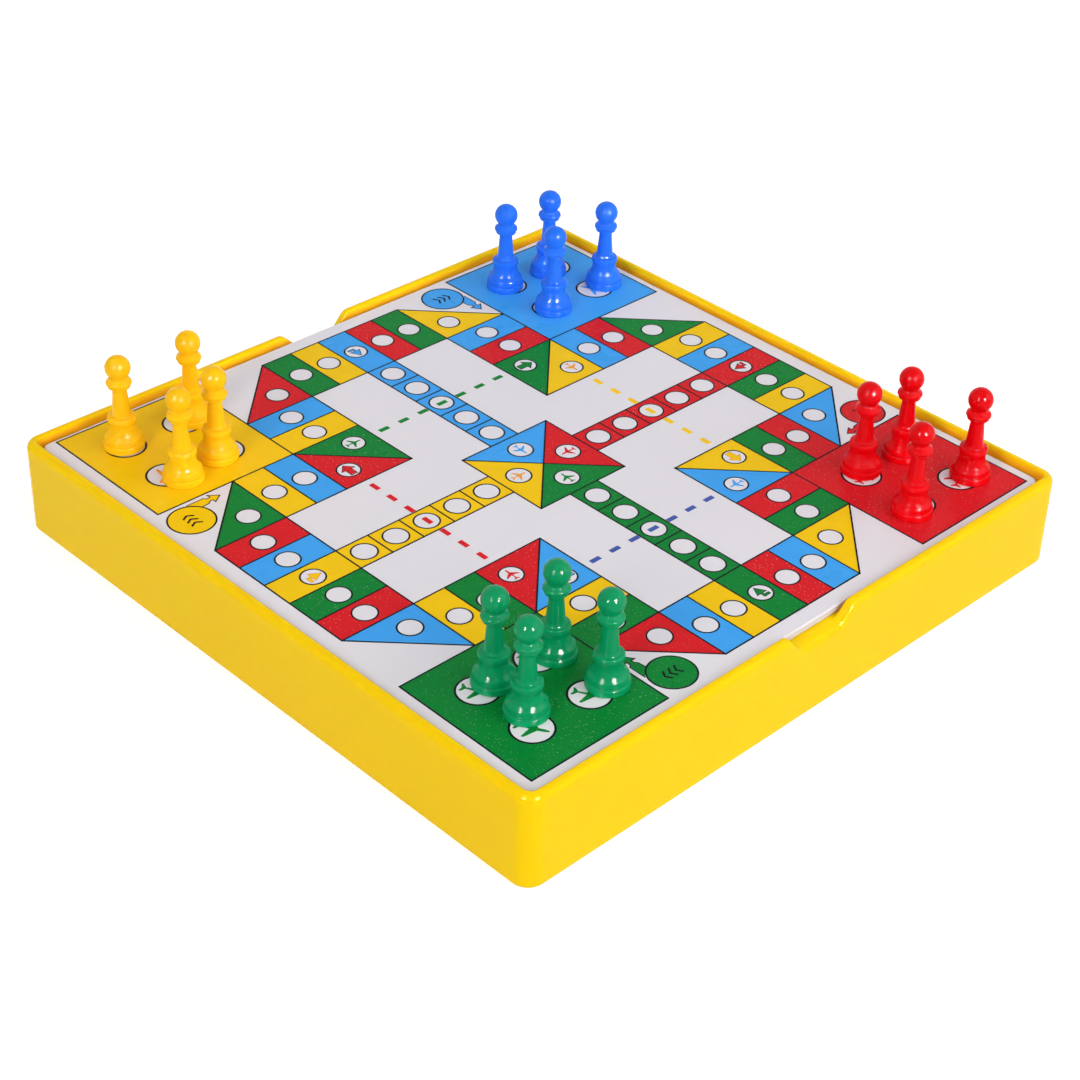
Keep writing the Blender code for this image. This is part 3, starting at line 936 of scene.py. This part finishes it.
# Radius, width of the line round it, and sides
CIRCLES = {
    "track": (TRACK_CIRCLE, RING_WIDTH, 48),
    "home": (HOME_CIRCLE, RING_WIDTH, 48),
    "field": (FIELD_CIRCLE, FIELD_RING_WIDTH, 72),
}
MARK_SHAPES = {"plane": PLANE_HALF, "chevron": CHEVRON_HALF}


def middles(sheet, kind):
    return [middle for middle, named in sheet.circles if named == kind]


def lying(places, rise):
    """Unturned places for flat marks of that rise, which lie on the board."""
    return [(*place, BOARD_TOP + rise / 2, 0, 0) for place in places]


def spots(tree, sheet, kind, material):
    """White spots inside the circles of one kind."""
    radius, width, sides = CIRCLES[kind]
    return stamp(tree, lying(middles(sheet, kind), DISC_RISE), Radius=radius - width / 2, Rise=DISC_RISE,
                 Sides=sides, Material=material)


def rings(tree, sheet, kind, material):
    """The outlines of the circles of one kind."""
    radius, width, sides = CIRCLES[kind]
    return stamp(tree, lying(middles(sheet, kind), LINE_RISE), Radius=radius - width / 2, Width=width,
                 Rise=LINE_RISE, Sides=sides, Material=material)


def line_places(strokes, width):
    """Where the strokes lie. Each direction has its own height, so crossings don't share a face."""
    places = []
    for angle, start, end in strokes:
        rank = 1 + round(angle / 45) % 4
        middle = (start + end) / 2
        height = BOARD_TOP + LINE_RISE / 2 + rank * LINE_RISE_STEP
        along = end - start
        places.append((middle.x, middle.y, height, math.atan2(along.y, along.x), along.length + width))
    return places


def mark_object(kind):
    """A flat mark of unit length, from its half outline."""
    shape = bmesh.new()
    slab(shape, mirrored(MARK_SHAPES[kind]), 0, MARK_RISE)
    bmesh.ops.recalc_face_normals(shape, faces=shape.faces)
    return mesh_object(kind, shape)


def start_arrow():
    """The path round the small arrow that leaves a start disc along its field's edge."""
    x, y = START_PLACE
    return [(x + along * MM, y + across * MM) for along, across in START_ARROW]


def lay_ink(name, pieces, material):
    """Joins what one ink prints, turned a little on the board as the real print is."""
    ink = joined(name, pieces, material)
    ink.data.transform(Matrix.Rotation(PRINT_TURN, 4, "Z"))
    return dress(ink, "board", "board")


def outlined(tree, paths, width, material):
    return stamp(tree, line_places(merged_strokes(paths), width), Width=width, Rise=LINE_RISE,
                 Material=material)


def make_print(materials):
    """All the ink on the board, one piece for each colour and kind of mark."""
    sheet = lay_out()
    discs, outlines, strokes, marks = disc_tree(), ring_tree(), stroke_tree(), mark_tree()
    white, line = materials["white"], materials["line"]
    shapes = {kind: mark_object(kind) for kind in MARK_SHAPES}
    start_arrows = {}
    for home, middle, quarter in sheet.starts:
        start_arrows[home] = [turned(point, quarter) for point in start_arrow()]

    for colour in CELL_CYCLE:
        ink = materials[colour]
        pieces = [slabs("areas", sheet.areas[colour] + [start_arrows[colour]], FIELD_RISE, ink),
                  slabs("arrows", sheet.arrows[colour], MARK_RISE, ink)]
        start = [middle for home, middle, _ in sheet.starts if home == colour]
        pieces.append(stamp(discs, lying(start, FIELD_RISE), Radius=START_DISC - RING_WIDTH / 2,
                            Rise=FIELD_RISE, Sides=START_SIDES, Material=ink))
        lay_ink(f"print_{colour}", pieces, ink)

        tint = materials["orange"] if colour == "yellow" else ink
        places = [(*middle, BOARD_TOP, turn, size) for owner, middle, turn, size in sheet.marks
                  if owner == colour]
        pieces = [stamp(marks, places, Mark=shapes["plane"], Material=tint)]
        if colour == "yellow":
            pieces.append(outlined(strokes, map(closed, sheet.arrows[colour]), MARK_LINE, tint))
        lay_ink(f"print_{colour}_marks", pieces, tint)

        dash_ink = materials["violet"] if colour == "blue" else ink
        places = [(*middle, BOARD_TOP + LINE_RISE / 2, turn, DASH_LENGTH)
                  for owner, middle, turn in sheet.dashes if owner == colour]
        dashes = stamp(strokes, places, Width=DASH_WIDTH, Rise=LINE_RISE, Material=dash_ink)
        lay_ink(f"print_{colour}_dashes", [dashes], dash_ink)

    lay_ink("print_white_spots", [spots(discs, sheet, kind, white) for kind in CIRCLES], white)

    pieces = [rings(outlines, sheet, kind, line) for kind in CIRCLES]
    starts = [middle for _, middle, _ in sheet.starts]
    pieces.append(stamp(outlines, lying(starts, LINE_RISE), Radius=START_DISC - RING_WIDTH / 2,
                        Width=RING_WIDTH, Rise=LINE_RISE, Sides=START_SIDES, Material=line))
    pieces.append(outlined(strokes, map(closed, sheet.outlines), LINE_WIDTH, line))
    pieces.append(outlined(strokes, start_arrows.values(), START_LINE, line))
    for colour in ("green", "red", "blue"):
        pieces.append(outlined(strokes, map(closed, sheet.arrows[colour]), MARK_LINE, line))
    chevrons = []
    for _, middle, quarter in sheet.starts:
        across = Vector(turned((0, 1), quarter))
        chevrons += [(*(Vector(middle) + across * (CHEVRON_STEP * step)), BOARD_TOP,
                      QUARTER - quarter * QUARTER, CHEVRON) for step in (-1, 0, 1)]
    pieces.append(stamp(marks, chevrons, Mark=shapes["chevron"], Material=line))
    lay_ink("print_lines", pieces, line)
    for shape in shapes.values():
        bpy.data.objects.remove(shape)


# Pawns

def pawn_outline():
    """Radius and height down the pawn's outside, round its foot and up its hollow."""
    head = [Vector(point) for point in arc((0, HEAD_MIDDLE), HEAD_RADIUS, 90, HEAD_END, HEAD_STEPS)]
    corners = [Vector((radius * MM, height * MM)) for radius, height, _ in PAWN_CORNERS]
    last = Vector((0, corners[-1].y))
    chain = [head[-1], *corners, last]
    rounding = [(chain[i:i + 3], PAWN_CORNERS[i][2] * MM) for i in range(len(corners))]
    return [Vector((0, HEAD_MIDDLE + HEAD_RADIUS))] + head[1:] + filleted(rounding) + [last]


def pawn_angles():
    """Directions round the pawn, closer together at its two mould lines, and the rise at each."""
    angles = [2 * math.pi * side / PAWN_SIDES for side in range(PAWN_SIDES)]
    seams = (0.0, math.pi)
    for seam in seams:
        angles += [seam - MOULD_LINE_ANGLE, seam + MOULD_LINE_ANGLE]
    return sorted((angle % (2 * math.pi), MOULD_LINE_RISE if angle in seams else 0.0) for angle in angles)


def turned_shape(outline, angles, hollow_from):
    """A closed body turned from an outline whose ends lie on the axis."""
    shape = bmesh.new()
    top = shape.verts.new((0, 0, outline[0].y))
    bottom = shape.verts.new((0, 0, outline[-1].y))
    rings = []
    for angle, rise in angles:
        ring = []
        for step, point in enumerate(outline[1:-1]):
            radius = point.x + (rise if step < hollow_from else 0.0)
            ring.append(shape.verts.new((radius * math.cos(angle), radius * math.sin(angle), point.y)))
        rings.append(ring)
    for ring, following in zip(rings, rings[1:] + rings[:1]):
        shape.faces.new((top, ring[0], following[0]))
        for step in range(len(ring) - 1):
            shape.faces.new((ring[step], ring[step + 1], following[step + 1], following[step]))
        shape.faces.new((ring[-1], bottom, following[-1]))
    bmesh.ops.recalc_face_normals(shape, faces=shape.faces)
    return shape


def make_pawns(materials):
    """The sixteen pawns, each turned its own way about its axis."""
    outline = pawn_outline()
    foot = min(range(len(outline)), key=lambda index: outline[index].y)
    for colour, material in materials.items():
        for number in range(1, 5):
            name = f"pawn_{colour}_{number}"
            low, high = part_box(name)
            pawn = mesh_object(name + "_turned", turned_shape(outline, pawn_angles(), foot), material)
            pawn.data.transform(Matrix.Rotation(MOULD_LINE_TURN + number * QUARTER / 3, 4, "Z"))
            pawn.data.transform(Matrix.Translation(((low.x + high.x) / 2, (low.y + high.y) / 2, low.z)))
            smooth(pawn, angle=50)
            dress(pawn, name, f"pawn_{colour}", name)


# Die

def make_die(material, pip_material):
    """A rounded cube with a shallow round hollow for each pip."""
    shape = bmesh.new()
    bmesh.ops.create_cube(shape, size=2 * DIE_HALF)
    bmesh.ops.bevel(shape, geom=shape.edges[:], offset=DIE_EDGE, segments=6, profile=0.5,
                    affect="EDGES")
    die = mesh_object("die_body", shape, material, pip_material)
    cutters = bmesh.new()
    ball = (PIP_RADIUS ** 2 + PIP_DEPTH ** 2) / (2 * PIP_DEPTH)
    for value, turn in FACE_TURNS.items():
        for across, up in PIP_STEPS[value]:
            place = Vector((across * PIP_PITCH, up * PIP_PITCH, DIE_HALF + ball - PIP_DEPTH))
            spot = Matrix.Translation(turn @ place) @ turn.to_4x4()
            bmesh.ops.create_uvsphere(cutters, u_segments=32, v_segments=24, radius=ball, matrix=spot)
    for face in cutters.faces:
        face.material_index = 1
    tool = mesh_object("pips", cutters, material, pip_material)
    combine(die, tool, "DIFFERENCE")
    smooth(die, angle=25)
    middle = (DIE_LOW + DIE_HIGH) / 2
    die.data.transform(Matrix.Translation(middle) @ Matrix.Rotation(DIE_TURN, 4, "Z"))
    return dress(die, "die", "die", "die")


# Studio

FLOOR_HALF = 4.0
FLOOR_DROP = 0.02 * MM
WORLD_STRENGTH = 0.55
BACKDROP_STRENGTH = 1.0
CAMERA_PLACE = (368.72 * MM, -364.72 * MM, BOARD_TOP + 335.01 * MM)
CAMERA_AZIMUTH = math.radians(42.738)
CAMERA_ELEVATION = math.radians(33.255)
CAMERA_ROLL = math.radians(3.163)
CAMERA_LENS = 76.48
CAMERA_SHIFT = (-0.0827, -0.0529)
CAMERA_NEAR = 10 * MM
LAMPS = {
    "lamp left": {"azimuth": 14.7, "elevation": 30.0, "size": (0.5, 0.5), "power": 6.05},
    "lamp right": {"azimuth": 80.5, "elevation": 27.4, "size": (0.5, 0.5), "power": 3.7},
    "lamp beside": {"azimuth": 120.0, "elevation": 30.0, "size": (1.2, 1.2), "power": 7.5},
}
GLINTS = {
    "glint left": {"azimuth": 14.7, "elevation": 30.0, "size": (0.20, 0.55), "power": 110.0},
    "glint right": {"azimuth": 80.5, "elevation": 27.4, "size": (0.40, 0.55), "power": 250.0},
}
LAMP_DISTANCE = 1.4


def direction(azimuth, elevation):
    """From the object towards a place at that azimuth, 0 in front, and elevation."""
    flat = math.cos(elevation)
    return Vector((math.sin(azimuth) * flat, -math.cos(azimuth) * flat, math.sin(elevation)))


def seen_directly(tree, otherwise, direct):
    """One value for rays of the camera, reflections and glass, and another for the light."""
    path = tree.nodes.new("ShaderNodeLightPath").outputs
    seen = calculate(tree, "MAXIMUM", path["Is Camera Ray"], path["Is Glossy Ray"])
    seen = calculate(tree, "MAXIMUM", seen, path["Is Transmission Ray"])
    return ramp(tree, seen, 0.0, 1.0, otherwise, direct)


def make_floor():
    """A pale floor that looks white where nothing shades it."""
    shape = bmesh.new()
    bmesh.ops.create_grid(shape, x_segments=1, y_segments=1, size=FLOOR_HALF)
    bmesh.ops.translate(shape, verts=shape.verts, vec=(0, 0, TRAY_LOW.z - FLOOR_DROP))
    material = bpy.data.materials.new("floor")
    material.use_nodes = True
    tree = material.node_tree
    tree.nodes.clear()
    diffuse = node(tree, "ShaderNodeBsdfDiffuse", Color=(*FLOOR_WHITE, 1))
    strength = seen_directly(tree, 0.0, FLOOR_GLOW)
    glow = node(tree, "ShaderNodeEmission", Color=(1, 1, 1, 1), Strength=strength)
    both = node(tree, "ShaderNodeAddShader", i0=diffuse.outputs[0], i1=glow.outputs[0])
    node(tree, "ShaderNodeOutputMaterial", Surface=both.outputs[0])
    floor = mesh_object("floor", shape, material)


def make_world():
    world = bpy.data.worlds.new("studio")
    world.use_nodes = True
    bpy.context.scene.world = world
    tree = world.node_tree
    background = tree.nodes["Background"]
    background.inputs["Color"].default_value = (1, 1, 1, 1)
    strength = seen_directly(tree, WORLD_STRENGTH, BACKDROP_STRENGTH)
    tree.links.new(strength, background.inputs["Strength"])


def make_lamps():
    """The lamps, and the glints: bright windows that show only in what is glossy."""
    for name, lamp in {**LAMPS, **GLINTS}.items():
        light = bpy.data.lights.new(name, "AREA")
        light.shape = "RECTANGLE" if name in GLINTS else "ELLIPSE"
        light.size, light.size_y = lamp["size"]
        light.energy = lamp["power"]
        towards = direction(math.radians(lamp["azimuth"]), math.radians(lamp["elevation"]))
        made = bpy.data.objects.new(name, light)
        made.location = towards * LAMP_DISTANCE
        made.rotation_euler = towards.to_track_quat("Z", "Y").to_euler()
        made.visible_diffuse = name not in GLINTS
        bpy.context.scene.collection.objects.link(made)


def make_camera():
    camera = bpy.data.cameras.new("camera")
    camera.lens = CAMERA_LENS
    camera.shift_x, camera.shift_y = CAMERA_SHIFT
    camera.clip_start = CAMERA_NEAR
    back = direction(CAMERA_AZIMUTH, CAMERA_ELEVATION)
    across = Vector((0, 0, 1)).cross(back).normalized()
    up = back.cross(across)
    right = math.cos(CAMERA_ROLL) * across + math.sin(CAMERA_ROLL) * up
    over = math.cos(CAMERA_ROLL) * up - math.sin(CAMERA_ROLL) * across
    made = bpy.data.objects.new("camera", camera)
    facing = Matrix((right, over, back)).transposed().to_4x4()
    made.matrix_world = Matrix.Translation(CAMERA_PLACE) @ facing
    bpy.context.scene.collection.objects.link(made)
    bpy.context.scene.camera = made


bpy.context.scene.view_settings.view_transform = "Standard"
make_tray(tray_plastic())
white = board_plastic()
make_board(white)
inks = {colour: printed_ink(f"ink {colour}", tint, pinholes=colour in PINHOLED)
        for colour, tint in INKS.items()}
inks["white"] = white
inks["line"] = printed_ink("ink line", LINE_INK)
inks["orange"] = printed_ink("ink orange", ORANGE_INK)
inks["violet"] = printed_ink("ink violet", VIOLET_INK)
make_print(inks)
make_pawns({colour: pawn_plastic(f"pawn {colour}", tint, PAWN_GLOSS[colour])
            for colour, tint in PAWN_COLOURS.items()})
make_die(die_plastic("die plastic", DIE_WHITE), die_plastic("pip paint", PIP_INK))
make_floor()
make_world()
make_lamps()
make_camera()
